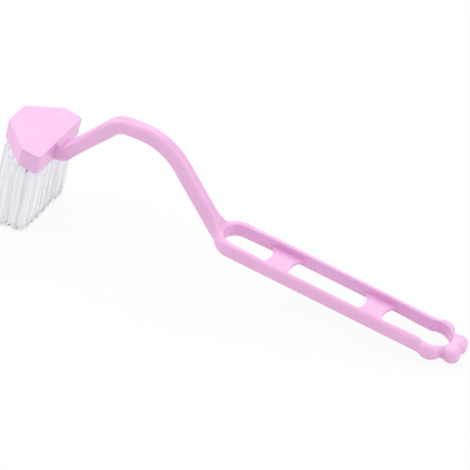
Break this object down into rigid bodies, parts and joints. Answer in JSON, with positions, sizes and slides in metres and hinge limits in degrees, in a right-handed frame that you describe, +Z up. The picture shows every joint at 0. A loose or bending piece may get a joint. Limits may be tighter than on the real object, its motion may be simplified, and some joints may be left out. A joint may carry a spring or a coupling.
{
  "type": "toilet brush",
  "caption": "Toilet brush: one plastic moulding with a flat block head, a tall bent neck and a slotted grip with a hanging ring, and stiff bristle tufts anchored in the head.",
  "frame": {"origin": "bottom centre of the bounding box, on the surface the brush lies on, with bristle tips and grip end at z = 0", "axes": "+X along the brush from the head to the end of the grip, +Y across it, +Z up"},
  "size_m": [0.288, 0.045, 0.0837],
  "materials": {
    "pink_plastic": "satin gloss injection moulding",
    "white_nylon": "translucent extruded filament",
    "anchor_steel": "drawn wire"
  },
  "bodies": {
    "root": {"handle": "pink_plastic", "tuft_01": "white_nylon", "tuft_02": "white_nylon", "tuft_03": "white_nylon", "tuft_04": "white_nylon", "tuft_05": "white_nylon", "tuft_06": "white_nylon", "tuft_07": "white_nylon", "tuft_08": "white_nylon", "tuft_09": "white_nylon", "tuft_10": "white_nylon", "tuft_11": "white_nylon", "tuft_12": "white_nylon", "tuft_13": "white_nylon", "tuft_14": "white_nylon", "tuft_15": "white_nylon", "tuft_16": "white_nylon", "tuft_17": "white_nylon", "tuft_18": "white_nylon", "tuft_19": "white_nylon", "tuft_20": "white_nylon", "tuft_21": "white_nylon", "tuft_22": "white_nylon", "tuft_23": "white_nylon", "tuft_24": "white_nylon", "tuft_25": "white_nylon", "tuft_26": "white_nylon", "tuft_27": "white_nylon", "tuft_28": "white_nylon", "anchor_01": "anchor_steel", "anchor_02": "anchor_steel", "anchor_03": "anchor_steel", "anchor_04": "anchor_steel", "anchor_05": "anchor_steel", "anchor_06": "anchor_steel", "anchor_07": "anchor_steel", "anchor_08": "anchor_steel", "anchor_09": "anchor_steel", "anchor_10": "anchor_steel", "anchor_11": "anchor_steel", "anchor_12": "anchor_steel", "anchor_13": "anchor_steel", "anchor_14": "anchor_steel", "anchor_15": "anchor_steel", "anchor_16": "anchor_steel", "anchor_17": "anchor_steel", "anchor_18": "anchor_steel", "anchor_19": "anchor_steel", "anchor_20": "anchor_steel", "anchor_21": "anchor_steel", "anchor_22": "anchor_steel", "anchor_23": "anchor_steel", "anchor_24": "anchor_steel", "anchor_25": "anchor_steel", "anchor_26": "anchor_steel", "anchor_27": "anchor_steel", "anchor_28": "anchor_steel"}
  },
  "joints": []
}
